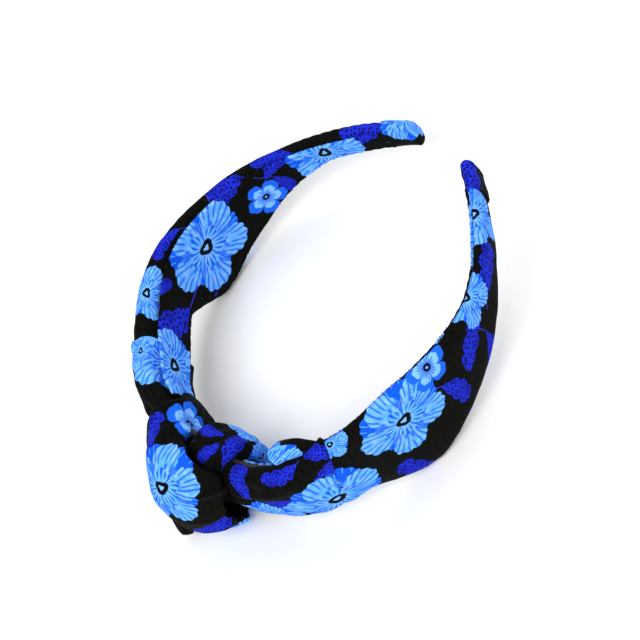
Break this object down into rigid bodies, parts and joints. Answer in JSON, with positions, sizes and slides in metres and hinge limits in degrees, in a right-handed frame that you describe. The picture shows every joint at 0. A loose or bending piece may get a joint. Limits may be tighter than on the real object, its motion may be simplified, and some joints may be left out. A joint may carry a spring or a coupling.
{
  "type": "headband",
  "caption": "Knotted headband: a springy hoop padded and covered in dark floral cloth, with its two cloth panels looped in a knot at the crown.",
  "frame": {"origin": "under the middle of the bounding box, in the plane of the band's rear edge", "axes": "+X toward the right arm of the band, +Y from the knot to the open tips, +Z from the rear edge to the front edge of the band"},
  "size_m": [0.1378, 0.173, 0.0461],
  "materials": {
    "hoop_plastic": "matte",
    "wadding": "matte",
    "printed_cloth": "matte",
    "lining_cloth": "matte",
    "thread": "satin"
  },
  "bodies": {
    "root": {"hoop": "hoop_plastic", "wadding_left": "wadding", "wadding_right": "wadding", "cover_left": "printed_cloth", "cover_right": "printed_cloth", "lining_left": "lining_cloth", "lining_right": "lining_cloth", "tip_wrap_left": "printed_cloth", "tip_wrap_right": "printed_cloth", "knot_loop_right": "printed_cloth", "knot_loop_left": "printed_cloth", "knot_core": "wadding", "knot_tuck": "printed_cloth", "hem_stitches_left": "thread", "hem_stitches_right": "thread", "tip_stitches_left": "thread", "tip_stitches_right": "thread", "tuck_stitches_left": "thread", "tuck_stitches_right": "thread", "knot_tacks": "thread"}
  },
  "joints": []
}
